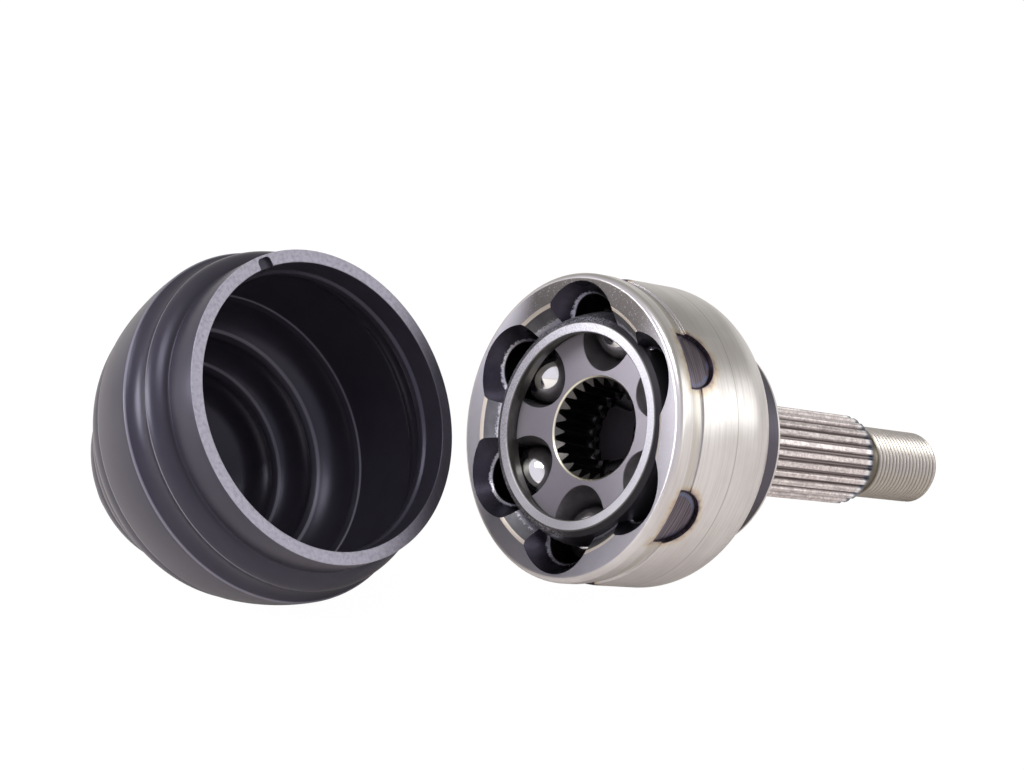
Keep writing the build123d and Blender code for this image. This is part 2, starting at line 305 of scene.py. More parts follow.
def track_tube(centre_x, radius, front_angle, rear_angle):
    """Ball-track cutter at +Y: a round bar bent on the track's arc."""
    bm = bmesh.new()
    turned = Matrix.Translation((centre_x, 0, 0)) @ Matrix.Rotation(radians(front_angle), 4, "Z")
    upright = Matrix.Translation((0, track_arc_radius, 0)) @ Matrix.Rotation(radians(90), 4, "Y")
    ring = bmesh.ops.create_circle(bm, cap_ends=False, segments=72, radius=radius, matrix=turned @ upright)
    edges = list({e for v in ring["verts"] for e in v.link_edges})
    bmesh.ops.spin(bm, geom=ring["verts"] + edges, cent=(centre_x, 0, 0), axis=(0, 0, 1), dvec=(0, 0, 0),
                   angle=-radians(front_angle + rear_angle), steps=48, use_merge=False, use_duplicate=False)
    bmesh.ops.holes_fill(bm, edges=[e for e in bm.edges if e.is_boundary], sides=0)
    bmesh.ops.recalc_face_normals(bm, faces=bm.faces)
    return bm


def six(bm):
    """Copy a shape made at +Y to the place of each ball, in one mesh."""
    bm.transform(Matrix.Rotation(radians(first_track_angle), 4, "X"))
    first = bm.verts[:] + bm.edges[:] + bm.faces[:]
    for index in range(1, ball_count):
        made = bmesh.ops.duplicate(bm, geom=first)["geom"]
        verts = [v for v in made if isinstance(v, bmesh.types.BMVert)]
        turn = Matrix.Rotation(2 * pi * index / ball_count, 3, "X")
        bmesh.ops.rotate(bm, verts=verts, cent=(0, 0, 0), matrix=turn)
    return bm


def to_object(bm, name, material):
    mesh = bpy.data.meshes.new(name)
    bm.to_mesh(mesh)
    bm.free()
    mesh.materials.append(material)
    thing = bpy.data.objects.new(name, mesh)
    bpy.context.scene.collection.objects.link(thing)
    return thing


def cut(thing, *tools, keep=False):
    """Take tools away from a shape, or keep only what lies inside them. Their cut faces keep their finish."""
    for tool in tools:
        step = thing.modifiers.new("cut", "BOOLEAN")
        step.operation = "INTERSECT" if keep else "DIFFERENCE"
        step.solver = "MANIFOLD"
        step.material_mode = "TRANSFER"
        step.object = tool
    bpy.context.view_layer.update()
    made = bpy.data.meshes.new_from_object(thing.evaluated_get(bpy.context.evaluated_depsgraph_get()))
    thing.modifiers.clear()
    thing.data = made
    for tool in tools:
        bpy.data.objects.remove(tool)
    return thing


def placed(thing, place, body, corner=32):
    """Lay a finished piece in the frame, smooth it up to its sharp edges and let it ride on its body."""
    bm = bmesh.new()
    bm.from_mesh(thing.data)
    bmesh.ops.remove_doubles(bm, verts=bm.verts, dist=2e-4)
    for face in bm.faces:
        face.smooth = True
    for edge in bm.edges:
        edge.smooth = edge.calc_face_angle(0) < radians(corner)
    bm.transform(Matrix.Scale(0.001, 4) @ place)
    bm.to_mesh(thing.data)
    bm.free()
    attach(thing, body)
    return thing


# Finishes

class Finish:
    """A material's nodes, read in millimetres in a piece's own directions."""

    def __init__(self, name, place=LAID):
        self.material = bpy.data.materials.new(name)
        self.material.use_nodes = True
        self.tree = self.material.node_tree
        self.shader = self.tree.nodes["Principled BSDF"]
        turned = self.add("ShaderNodeMapping")
        flat = place.copy()
        flat.translation = Vector((0, 0, 0))
        back = flat.inverted()
        turned.inputs["Rotation"].default_value = back.to_euler()
        turned.inputs["Scale"].default_value = (1000, 1000, 1000)
        turned.inputs["Location"].default_value = -(back @ place.translation)
        self.tree.links.new(self.add("ShaderNodeTexCoord").outputs["Object"], turned.inputs["Vector"])
        self.place = turned.outputs["Vector"]
        split = self.add("ShaderNodeSeparateXYZ")
        self.tree.links.new(self.place, split.inputs[0])
        self.x, self.y, self.z = split.outputs
        self.r = self.length(self.y, self.z)
        self.turn = self.math("ARCTAN2", self.z, self.y)

    def add(self, kind, **settings):
        node = self.tree.nodes.new(kind)
        for name, value in settings.items():
            setattr(node, name, value)
        return node

    def join(self, socket, value):
        if isinstance(value, bpy.types.NodeSocket):
            self.tree.links.new(value, socket)
        elif value is not None:
            socket.default_value = value

    def math(self, operation, a, b=None, c=None):
        node = self.add("ShaderNodeMath", operation=operation)
        for socket, value in zip(node.inputs, (a, b, c)):
            self.join(socket, value)
        return node.outputs[0]

    def length(self, a, b):
        """Length of a line that runs a in one direction and b across it."""
        squares = [self.math("MULTIPLY", side, side) for side in (a, b)]
        return self.math("SQRT", self.math("ADD", *squares))

    def band(self, value, low, high):
        """0 below low, 1 above high, eased between them. Low may be above high."""
        node = self.add("ShaderNodeMapRange", interpolation_type="SMOOTHSTEP")
        self.join(node.inputs["Value"], value)
        flip = low > high
        node.inputs["From Min"].default_value = min(low, high)
        node.inputs["From Max"].default_value = max(low, high)
        node.inputs["To Min"].default_value = 1.0 if flip else 0.0
        node.inputs["To Max"].default_value = 0.0 if flip else 1.0
        return node.outputs["Result"]

    def line(self, value, centre, half):
        """1 at a centre value, falling to 0 at half a width away."""
        return self.band(self.math("ABSOLUTE", self.math("SUBTRACT", value, centre)), half, half * 0.3)

    def noise(self, scale, detail=4.0, vector=None, roughness=0.55, distortion=0.0):
        node = self.add("ShaderNodeTexNoise")
        self.join(node.inputs["Vector"], vector or self.place)
        node.inputs["Scale"].default_value = scale
        node.inputs["Detail"].default_value = detail
        node.inputs["Roughness"].default_value = roughness
        node.inputs["Distortion"].default_value = distortion
        return node.outputs["Fac"]

    def stretched(self, along, around, across):
        """Place with each of its directions, along the axis, around it and out from it, at its own scale."""
        node = self.add("ShaderNodeCombineXYZ")
        self.join(node.inputs[0], self.math("MULTIPLY", self.x, along))
        self.join(node.inputs[1], self.math("MULTIPLY", self.math("SINE", self.turn), around))
        self.join(node.inputs[2], self.math("ADD", self.math("MULTIPLY", self.r, across),
                                            self.math("MULTIPLY", self.math("COSINE", self.turn), around)))
        return node.outputs[0]

    def ramp(self, value, *stops):
        node = self.add("ShaderNodeValToRGB")
        elements = node.color_ramp.elements
        while len(elements) < len(stops):
            elements.new(0.5)
        for element, (place, colour) in zip(elements, stops):
            element.position = place
            element.color = (*colour, 1)
        self.join(node.inputs[0], value)
        return node.outputs[0]

    def mix(self, share, a, b):
        node = self.add("ShaderNodeMix", data_type="RGBA")
        self.join(node.inputs[0], share)
        for socket, value in ((node.inputs[6], a), (node.inputs[7], b)):
            self.join(socket, (*value, 1) if isinstance(value, tuple) else value)
        return node.outputs[2]

    def over(self, base, mask, paint, share):
        """A colour with paint laid over it where the mask is, at a share of full strength."""
        return self.mix(self.math("MULTIPLY", mask, share), base, paint)

    def blend(self, share, a, b):
        """Number between a and b."""
        node = self.add("ShaderNodeMix", data_type="FLOAT")
        for socket, value in zip((node.inputs[0], node.inputs[2], node.inputs[3]), (share, a, b)):
            self.join(socket, value)
        return node.outputs[0]

    def bump(self, height, distance, strength=1.0):
        node = self.add("ShaderNodeBump")
        self.join(node.inputs["Height"], height)
        node.inputs["Distance"].default_value = distance * 0.001
        node.inputs["Strength"].default_value = strength
        self.join(self.shader.inputs["Normal"], node.outputs[0])

    def done(self, colour, roughness, metallic=1.0, specular=0.5):
        self.join(self.shader.inputs["Base Color"], colour)
        self.join(self.shader.inputs["Roughness"], roughness)
        self.join(self.shader.inputs["Metallic"], metallic)
        self.shader.inputs["Specular IOR Level"].default_value = specular
        return self.material

    def track_turn(self):
        """Angle from the nearest ball track, in radians."""
        step = 2 * pi / ball_count
        shifted = self.math("ADD", self.turn, 2 * pi - radians(first_track_angle) + step / 2)
        return self.math("SUBTRACT", self.math("MODULO", shifted, step), step / 2)

    def track_distance(self):
        """Distance outside the nearest ball track's wall."""
        turn = self.track_turn()
        out = self.math("MULTIPLY", self.r, self.math("COSINE", turn))
        aside = self.math("MULTIPLY", self.r, self.math("SINE", turn))
        along = self.math("SUBTRACT", self.x, -track_offset)
        off = self.math("SUBTRACT", self.length(along, out), track_arc_radius)
        return self.math("SUBTRACT", self.length(off, aside), ball_radius)

    def pocket_distance(self):
        """Distance outside the rounded pocket in the bell's side: below 0 inside it."""
        aside = self.math("MULTIPLY", self.track_turn(), bell_radius)
        along = self.math("SUBTRACT", self.x, mouth_x + pocket_middle)
        away = self.math("SUBTRACT", self.length(along, aside), pocket_radius)
        wall = self.math("SUBTRACT", groove_start - pocket_middle, along)
        return self.math("MAXIMUM", away, wall)


def turned_steel():
    """Turned outside of the bell: fine grain round the axis, straw and blue tints and a painted-shade outline
    round the pockets.
    """
    f = Finish("turned_steel")
    grain = f.noise(1.0, 5, f.stretched(2.2, 1.6, 0), 0.75)
    fine = f.noise(1.0, 3, f.stretched(6.5, 2.5, 0), 0.6)
    cloud = f.noise(0.06, 3)
    away = f.pocket_distance()
    wavy = f.math("ADD", away, f.math("MULTIPLY", f.math("SUBTRACT", f.noise(0.3, 3), 0.5), 4.5))
    near = f.band(wavy, 3.2, -0.6)
    steel = f.mix(f.band(cloud, 0.35, 0.7), (0.66, 0.643, 0.635), (0.575, 0.555, 0.545))
    tint = f.ramp(near, (0.0, (0.63, 0.612, 0.60)), (0.3, (0.62, 0.55, 0.42)), (0.7, (0.50, 0.37, 0.23)),
                  (1.0, (0.20, 0.15, 0.19)))
    colour = f.mix(near, steel, tint)
    # Painted shade: a near-black outline along the pockets' edges.
    colour = f.mix(f.band(away, 0.2, 0.05), colour, (0.045, 0.04, 0.06))
    groove = f.line(f.x, mouth_x + groove_start + groove_width / 2, groove_width / 2 + 0.3)
    colour = f.over(colour, groove, (0.40, 0.385, 0.32), 0.5)
    seam = f.line(f.x, mouth_x + seam_place, 0.25)
    colour = f.over(colour, seam, (0.24, 0.22, 0.20), 0.55)
    colour = f.over(colour, f.band(grain, 0.42, 0.68), (0.36, 0.34, 0.32), 0.34)
    colour = f.over(colour, f.band(fine, 0.55, 0.72), (0.86, 0.84, 0.81), 0.16)
    f.bump(f.math("ADD", grain, f.math("MULTIPLY", seam, -1.5)), 0.014, 0.6)
    return f.done(colour, f.blend(grain, 0.24, 0.38))


def mouth_steel():
    """Face of the mouth: as forged, lavender-grey and speckled, with painted shade at the top, painted light at
    the sides and a bright machined facet at its inner edge, its peach painted reflection.
    """
    f = Finish("mouth_steel")
    speck = f.noise(2.4, 4)
    cloud = f.noise(0.16, 3)
    colour = f.mix(cloud, (0.34, 0.33, 0.37), (0.48, 0.465, 0.51))
    # Painted shade towards the top; painted light by side: a mid tone towards -Y, much lighter and less metallic
    # towards +Y.
    colour = f.over(colour, f.band(f.z, 8, 30), (0.055, 0.048, 0.042), 0.95)
    colour = f.over(colour, f.band(f.y, -16, -34), (0.345, 0.33, 0.36), 0.9)
    far = f.band(f.y, 20, 34)
    colour = f.over(colour, far, (0.78, 0.76, 0.82), 0.9)
    colour = f.over(colour, f.band(speck, 0.58, 0.68), (0.50, 0.49, 0.54), 0.3)
    colour = f.mix(f.band(f.r, 37.2, 38.4), colour, (0.66, 0.64, 0.58))
    # The facet is machined bright steel; its peach brightness is painted reflection.
    facet_r = mouth_radius + mouth_facet_width
    colour = f.mix(f.band(f.r, facet_r + 0.05, facet_r - 0.05), colour, (0.95, 0.86, 0.74))
    f.bump(speck, 0.04, 0.4)
    return f.done(colour, f.blend(speck, 0.36, 0.5), f.blend(far, 0.8, 0.2))


def seat_steel():
    """Smooth grey cone at the mouth and the cage's speckled seat, darkened deeper in by painted shade, with a
    lacy bright line at their edges.
    """
    f = Finish("seat_steel")
    speck = f.noise(3.4, 5)
    coarse = f.math("MULTIPLY", f.math("SUBTRACT", f.noise(0.9, 3), 0.5), 1.6)
    rough = f.math("ADD", f.math("MULTIPLY", f.math("SUBTRACT", speck, 0.5), 2.0), coarse)
    cone = f.band(f.x, seat_start_x + 0.05, seat_start_x - 0.05)
    smooth = f.mix(f.noise(0.3, 3), (0.12, 0.12, 0.13), (0.27, 0.27, 0.28))
    land = f.mix(f.band(speck, 0.44, 0.60), (0.10, 0.095, 0.11), (0.50, 0.49, 0.55))
    # Painted shade: the seat darkens deeper inside the cavity.
    land = f.mix(f.band(f.x, seat_start_x + 1.5, seat_start_x + 4.5), land, (0.045, 0.04, 0.045))
    colour = f.mix(cone, land, smooth)
    edge = f.band(f.math("ADD", f.track_distance(), rough), 1.3, 0.5)
    shallow = f.band(f.x, seat_start_x + 3.5, seat_start_x + 1.0)
    ridge = f.line(f.math("ADD", f.x, rough), seat_start_x - 0.4, 0.9)
    shown = f.math("MAXIMUM", f.math("MULTIPLY", edge, shallow), ridge)
    colour = f.mix(shown, colour, (0.80, 0.79, 0.85))
    f.bump(speck, 0.06, 0.5)
    return f.done(colour, f.blend(speck, 0.30, 0.5))


def forged_steel():
    """Ball tracks, near black, and their smooth violet flares, parted by a lacy bright line."""
    f = Finish("forged_steel")
    speck = f.noise(3.0, 5)
    cloud = f.noise(0.22, 3)
    away = f.track_distance()
    rough = f.math("MULTIPLY", f.math("SUBTRACT", f.noise(1.2, 5), 0.5), 1.3)
    flare = f.band(away, 0.12, 0.30)
    violet = f.mix(cloud, (0.017, 0.015, 0.022), (0.060, 0.055, 0.076))
    deep = f.mix(cloud, (0.022, 0.02, 0.022), (0.06, 0.055, 0.058))
    colour = f.mix(flare, deep, violet)
    lace = f.math("MULTIPLY", f.band(f.math("ADD", away, rough), 0.95, 0.55), flare)
    lace = f.math("MULTIPLY", lace, f.band(speck, 0.30, 0.44))
    lace = f.math("MULTIPLY", lace, f.band(f.x, mouth_x + 9.5, mouth_x + 8.5))
    colour = f.mix(lace, colour, (0.74, 0.73, 0.80))
    f.bump(speck, 0.02, 0.4)
    return f.done(colour, f.blend(cloud, 0.22, 0.36))


def pocket_steel():
    """Pockets in the bell's side: streaked dark purple floor, a thin black line of painted shade along its wall
    and a blue painted highlight near it.
    """
    f = Finish("pocket_steel")
    grain = f.noise(1.0, 5, f.stretched(2.4, 1.2, 0), 0.7)
    inside = f.math("MULTIPLY", f.pocket_distance(), -1.0)
    colour = f.mix(f.band(grain, 0.3, 0.7), (0.055, 0.047, 0.06), (0.19, 0.165, 0.19))
    # Painted highlight: a blue band near the wall, broken by noise.
    blue = f.math("MULTIPLY", f.line(inside, 1.1, 0.5), f.band(f.noise(0.25, 2), 0.45, 0.6))
    colour = f.mix(blue, colour, (0.12, 0.14, 0.23))
    # Painted shade: a thin black line in the floor's corner at the wall.
    colour = f.mix(f.line(inside, 0.25, 0.3), colour, (0.03, 0.026, 0.04))
    f.bump(grain, 0.02, 0.5)
    return f.done(colour, f.blend(grain, 0.28, 0.42))


def shoulder_steel():
    """Hardened dark shoulder, violet-blue, darker towards the bottom by painted shade, with a bright rear rim and
    a straw-pink edge at the bell.
    """
    f = Finish("shoulder_steel")
    grain = f.noise(1.0, 5, f.stretched(9, 2, 0), 0.65)
    colour = f.mix(grain, (0.048, 0.044, 0.060), (0.150, 0.140, 0.172))
    # Painted shade: darker towards the bottom.
    colour = f.mix(f.band(f.z, -4, -20), colour, (0.05, 0.042, 0.048))
    colour = f.mix(f.band(f.x, shoulder_x + 0.9, shoulder_x + 0.1), colour, (0.50, 0.38, 0.33))
    colour = f.mix(f.band(f.x, shoulder_face_x - 1.35, shoulder_face_x - 1.05), colour, (0.62, 0.605, 0.60))
    f.bump(grain, 0.02, 0.5)
    return f.done(colour, f.blend(grain, 0.28, 0.42))


def spline_steel():
    """Stem spline: mottled pinkish-grey crests, valleys darkened by painted shade and blue-black tooth ends."""
    f = Finish("spline_steel")
    streak = f.noise(1.0, 5, f.stretched(0.5, 12, 0.8), 0.7)
    mottle = f.noise(0.9, 5, None, 0.7)
    deep = f.band(f.r, spline_root_radius + 0.1, spline_radius - 0.2)
    crest = f.mix(f.band(mottle, 0.32, 0.68), (0.54, 0.485, 0.48), (0.90, 0.85, 0.84))
    crest = f.over(crest, f.band(streak, 0.5, 0.7), (0.86, 0.83, 0.82), 0.4)
    stain = f.band(f.noise(1.0, 4, f.stretched(0.14, 9, 0), 0.65), 0.50, 0.62)
    crest = f.over(crest, stain, (0.27, 0.235, 0.255), 0.35)
    crest = f.over(crest, f.line(f.x, spline_end_x - 3.4, 1.2), (0.84, 0.86, 0.88), 0.7)
    # Painted shade: the valleys between the teeth are darker.
    colour = f.mix(deep, (0.24, 0.21, 0.21), crest)
    tip = f.band(f.math("ADD", f.x, f.math("MULTIPLY", mottle, 1.4)), spline_end_x - 2.4, spline_end_x - 0.9)
    colour = f.over(colour, tip, (0.06, 0.08, 0.125), 0.85)
    f.bump(mottle, 0.05, 0.4)
    return f.done(colour, f.blend(mottle, 0.34, 0.52))


def thread_steel():
    """Thread and relief: silver with an olive cast, darker in the roots by painted shade."""
    f = Finish("thread_steel")
    grain = f.noise(1.0, 4, f.stretched(4, 6, 0), 0.6)
    # Painted shade: everything below the crests, the roots among it, is darker.
    deep = f.band(f.r, thread_radius - 0.75, thread_radius - 0.15)
    colour = f.mix(deep, (0.16, 0.145, 0.115), f.mix(grain, (0.40, 0.375, 0.33), (0.60, 0.57, 0.52)))
    f.bump(grain, 0.02, 0.5)
    return f.done(colour, f.blend(grain, 0.26, 0.4))


def cage_steel():
    """Cage: bright, ground and speckled front ring, dark smooth walls and sphere; painted shade darkens both
    towards -Y, painted light brightens the ring at the bottom and towards +Y.
    """
    f = Finish("cage_steel", LAID_CAGE)
    speck = f.noise(2.2, 5, None, 0.65)
    front = f.band(f.x, -cage_half_width + 0.15, -cage_half_width + 0.03)
    dark = f.mix(f.noise(0.3, 3), (0.09, 0.088, 0.082), (0.22, 0.215, 0.20))
    outer = f.mix(f.band(speck, 0.46, 0.60), (0.09, 0.088, 0.10), (0.46, 0.45, 0.50))
    # Painted shade: the sphere goes near black towards -Y.
    outer = f.mix(f.band(f.y, 6, -8), outer, (0.028, 0.026, 0.03))
    dark = f.mix(f.band(f.r, cage_face_radius, cage_face_radius + 0.4), dark, outer)
    bright = f.mix(f.band(speck, 0.34, 0.60), (0.46, 0.45, 0.50), (0.70, 0.69, 0.74))
    # Painted shade and light: the ring is darker towards -Y and lighter towards the bottom.
    bright = f.over(bright, f.band(f.y, -4, -20), (0.46, 0.45, 0.485), 0.6)
    bright = f.over(bright, f.band(f.z, -6, -22), (0.80, 0.79, 0.83), 0.7)
    rim = f.math("MULTIPLY", f.band(f.r, cage_face_radius, cage_face_radius - 0.25), front)
    colour = f.mix(rim, dark, bright)
    f.bump(speck, 0.05, 0.5)
    # Painted light: the ring is less metallic towards +Y, so it looks more lit there.
    metal = f.blend(rim, 0.8, f.blend(f.band(f.y, -6, 16), 0.75, 0.35))
    return f.done(colour, f.blend(speck, 0.38, 0.55), metal)


def race_steel():
    """Inner race: matte lavender-grey face, darker ball grooves and rear."""
    f = Finish("race_steel", LAID_RACE)
    speck = f.noise(2.6, 5)
    front = f.band(f.x, -race_front_width + 0.3, -race_front_width + 0.05)
    dark = f.mix(f.noise(0.3, 3), (0.10, 0.094, 0.098), (0.24, 0.225, 0.235))
    face = f.mix(speck, (0.32, 0.30, 0.335), (0.42, 0.395, 0.44))
    colour = f.mix(front, dark, face)
    f.bump(speck, 0.03, 0.4)
    # Painted light: the front face is less metallic towards +Y, so it looks more lit there.
    metal = f.blend(front, 0.9, f.blend(f.band(f.y, -6, 14), 0.75, 0.4))
    return f.done(colour, f.blend(speck, 0.42, 0.58), metal)


def bore_steel():
    """Splined bore: dark flanks, grey tooth ends and a thin bright machined chamfer, its brightness painted
    highlight.
    """
    f = Finish("bore_steel", LAID_RACE)
    streak = f.noise(1.0, 4, f.stretched(0.6, 16, 1), 0.6)
    colour = f.mix(streak, (0.035, 0.032, 0.036), (0.115, 0.108, 0.115))
    end = f.band(f.x, -race_front_width + 2.2, -race_front_width + 1.6)
    colour = f.mix(end, colour, (0.11, 0.105, 0.10))
    # The chamfer is machined; its near-white brightness is painted highlight.
    rim = f.line(f.r, race_bore_radius + 0.3, 0.3)
    colour = f.mix(f.math("MULTIPLY", rim, end), colour, (0.85, 0.82, 0.66))
    lip = f.line(f.x, circlip_groove_x, 0.4)
    colour = f.mix(lip, colour, (0.50, 0.48, 0.47))
    f.bump(streak, 0.03, 0.5)
    return f.done(colour, f.blend(streak, 0.3, 0.45))


def ball_chrome():
    """Polished balls with a faint film of oil."""
    f = Finish("ball_chrome")
    film = f.noise(0.25, 3)
    colour = f.mix(film, (0.80, 0.80, 0.78), (0.90, 0.90, 0.88))
    f.bump(f.noise(4.0, 2), 0.002, 0.3)
    return f.done(colour, f.blend(film, 0.05, 0.14))


def spring_steel():
    """Circlip: blued spring steel."""
    f = Finish("spring_steel", LAID_RACE)
    grain = f.noise(1.5, 4)
    colour = f.mix(grain, (0.10, 0.10, 0.115), (0.24, 0.235, 0.25))
    f.bump(grain, 0.02, 0.4)
    return f.done(colour, f.blend(grain, 0.3, 0.45))


def boot_rubber():
    """Satin black rubber with a violet cast: fine matte skin, painted highlights along the fold creases, a rim
    paled part by dust and part by painted light, with painted shade on one side.
    """
    f = Finish("boot_rubber", BOOT)
    skin = f.noise(2.2, 3)
    flow = f.noise(1.0, 4, f.stretched(0.25, 5, 0.3), 0.6)
    dust_and_sheen = f.noise(0.9, 5, None, 0.65)
    colour = f.mix(flow, (0.020, 0.018, 0.025), (0.032, 0.029, 0.040))
    fold = boot_fold_length / boot_folds
    # Painted highlights: pale lines along the fold creases, inside and out.
    painted_crease_highlight = f.line(f.x, boot_shoulder[0], 0.3)
    for place in (boot_crest[0], *(boot_band_end_x + fold * index for index in range(boot_folds))):
        painted_crease_highlight = f.math("MAXIMUM", painted_crease_highlight, f.line(f.x, place, 0.4))
    colour = f.over(colour, painted_crease_highlight, (0.27, 0.26, 0.31), 0.6)
    # The rim's face is paled with mottling, part dust and part painted light, and darkened towards -Y and the
    # bottom by painted shade.
    rim = f.math("MULTIPLY", f.band(f.x, 0.25, 0.08), f.band(dust_and_sheen, -0.25, 0.75))
    shade = f.band(f.math("ADD", f.math("MULTIPLY", f.y, -0.9), f.math("MULTIPLY", f.z, -0.45)), 14, 36)
    pale = f.mix(shade, (0.385, 0.374, 0.44), (0.04, 0.037, 0.047))
    colour = f.mix(rim, colour, pale)
    f.bump(skin, 0.004, 0.3)
    f.shader.inputs["Specular Tint"].default_value = (0.80, 0.79, 1.0, 1)
    return f.done(colour, f.blend(flow, 0.28, 0.36), 0.0, 0.46)


# Pieces of the outer race

def corner_end():
    """Angle over which the bell's rear corner turns before its rear cone starts."""
    run = shoulder_x - mouth_x - bell_straight_length
    drop = bell_radius - bell_corner_radius - bell_rear_radius
    return atan2(drop, run) + asin(bell_corner_radius / hypot(run, drop))


def bell_outside():
    """Outline of the bell from its lip to the start of the spline."""
    corner_x = mouth_x + bell_straight_length
    corner_r = bell_radius - bell_corner_radius
    turn = corner_end()
    groove_x = mouth_x + groove_start
    groove_end_x = groove_x + groove_width
    groove_r = bell_radius - groove_depth
    neck_start = (shoulder_face_x, neck_radius + neck_fillet)
    outline = [(mouth_x + lip_rounding * (1 - cos(t)), bell_radius - lip_rounding * (1 - sin(t)))
               for t in (radians(9 * i) for i in range(11))]
    outline += softened([
        (mouth_x + lip_rounding + 0.2, bell_radius), (groove_x, bell_radius), (groove_x + 0.1, groove_r),
        (groove_end_x - 0.1, groove_r), (groove_end_x, bell_radius), (corner_x - 4, bell_radius)], 0.25)
    outline += [(corner_x + bell_corner_radius * sin(turn * i / 20),
                 corner_r + bell_corner_radius * cos(turn * i / 20)) for i in range(21)]
    outline += softened([
        (shoulder_x - 1, bell_rear_radius + 0.25), (shoulder_x, bell_rear_radius), (shoulder_x, shoulder_radius),
        (shoulder_face_x - shoulder_chamfer, shoulder_radius),
        (shoulder_face_x, shoulder_radius - shoulder_chamfer), neck_start], 0.2)
    outline += arc(neck_start, (shoulder_face_x + neck_fillet, neck_radius), -0.58, 8)
    return outline + [(spline_start_x + 0.5, neck_radius), (spline_start_x + 0.5, 0)]


def bell_inside():
    """Outline of the cavity, from its floor out to the mouth."""
    seat = centred_arc(cage_seat_radius, cavity_depth, seat_start_x, 48)
    rim = [(mouth_x + mouth_facet_depth, mouth_radius), (mouth_x, mouth_radius + mouth_facet_width)]
    return [(cavity_depth, 0), *seat, *rim]


def flares():
    """Cutter for the flares: cones that widen towards the mouth and run out past it."""
    past = 3
    slope = (flare_radius - flare_inner_radius) / flare_depth
    length = flare_depth + past
    middle = Matrix.Translation((mouth_x - past + length / 2, flare_place_radius, 0))
    bm = bmesh.new()
    bmesh.ops.create_cone(bm, cap_ends=True, segments=96, radius1=flare_radius + slope * past,
                          radius2=flare_inner_radius, depth=length,
                          matrix=middle @ Matrix.Rotation(radians(90), 4, "Y"))
    return to_object(six(bm), "flare_tool", finishes["forged_steel"])


def pockets():
    """Cutter for the side pockets: a flat-sided round plug with a rounded-out floor."""
    below, height = 3, 8
    bm = bmesh.new()
    bmesh.ops.create_circle(bm, cap_ends=True, segments=72, radius=pocket_radius)
    bmesh.ops.bisect_plane(bm, geom=bm.verts[:] + bm.edges[:] + bm.faces[:], dist=1e-5,
                           plane_co=(groove_start - pocket_middle, 0, 0), plane_no=(-1, 0, 0), clear_outer=True)
    bm.transform(Matrix.Translation((mouth_x + pocket_middle, bell_radius - below, 0))
                 @ Matrix.Rotation(radians(-90), 4, "X"))
    extrude(bm, bm.faces[:], (0, height, 0))
    bmesh.ops.recalc_face_normals(bm, faces=bm.faces)
    plug = to_object(six(bm), "pocket_tool", finishes["pocket_steel"])
    floor_r = bell_radius - pocket_depth
    start, end = mouth_x - 20, mouth_x + 40
    core = spun([(start, 0), (start, floor_r), (end, floor_r), (end, 0)], fine_turn)
    return cut(plug, to_object(core, "pocket_core", finishes["pocket_steel"]))


def bell():
    """Bell with its cavity, ball tracks, flares, side pockets, shoulder and neck."""
    thing = to_object(spun(bell_inside() + bell_outside(), fine_turn), "bell", finishes["turned_steel"])
    tube = six(track_tube(-track_offset, ball_radius + outer_track_clearance, *outer_track_sweep))
    thing = cut(thing, to_object(tube, "track_tool", finishes["forged_steel"]), flares(), pockets())
    dress_bell(thing)
    placed(thing, LAID, "outer_race", 28)
    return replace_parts(thing, "outer_race")


def bell_finish(x, r):
    """Name of the finish at a place on the bell's turned faces, or None where it stays turned steel."""
    if x > shoulder_x - 0.05 and r < bell_rear_radius - 0.1:
        return "shoulder_steel"
    if x < mouth_x + 0.02 or (x < mouth_x + mouth_facet_depth + 0.1 and r < 34):
        return "mouth_steel"
    if r < cage_seat_radius + 0.9 and x < cavity_depth - 0.1:
        return "seat_steel"
    if r < cage_seat_radius and x < cavity_depth + 0.1:
        return "forged_steel"
    return None


def dress_bell(thing):
    """Give the bell's turned faces their finishes by where they lie: mouth, seat and shoulder."""
    mesh = thing.data
    slots = {m.name: i for i, m in enumerate(mesh.materials)}
    for name in ("mouth_steel", "seat_steel", "shoulder_steel"):
        mesh.materials.append(finishes[name])
        slots[name] = len(mesh.materials) - 1
    for polygon in mesh.polygons:
        if polygon.material_index != slots["turned_steel"]:
            continue
        x, y, z = polygon.center
        name = bell_finish(x, hypot(y, z))
        if name:
            polygon.material_index = slots[name]


def stem_spline():
    """Splined length of the stem, its teeth rounded over at both ends."""
    edge_r = spline_radius - 0.12
    tooth = [(share, spline_root_radius) for share in (0.0, 0.08)]
    tooth += [(0.27, edge_r), (0.32, spline_radius), (0.68, spline_radius), (0.73, edge_r)]
    tooth += [(0.92, spline_root_radius)]
    bar = to_object(splined_bar(spline_start_x, spline_end_x - spline_start_x, tooth, spline_teeth),
                    "stem_spline", finishes["spline_steel"])
    wall = [(spline_start_x, 0), (spline_start_x, spline_radius + 1)]
    wall += arc((spline_end_x - 3.2, spline_radius + 0.4), (spline_end_x, spline_radius - 1.6), 0.55, 10)
    wall += [(spline_end_x, 0)]
    cut(bar, to_object(spun(wall, small_turn), "spline_envelope", finishes["spline_steel"]), keep=True)
    return placed(bar, LAID, "outer_race", 24)


def stem_tip():
    """Cone and relief behind the spline, and the core of the thread."""
    core_r = thread_radius - thread_depth
    cone_r = 10.5
    tip = [(spline_end_x - 0.5, 0), (spline_end_x - 0.5, cone_r), (spline_end_x + 0.6, cone_r),
           (spline_end_x + 2.0, relief_radius), (thread_start_x, relief_radius), (thread_start_x + 0.3, core_r),
           (stem_end_x - 1.0, core_r), (stem_end_x, core_r - 0.3), (stem_end_x, 0)]
    core = to_object(spun(softened(tip, 0.2), 128), "stem_tip", finishes["thread_steel"])
    return placed(core, LAID, "outer_race")


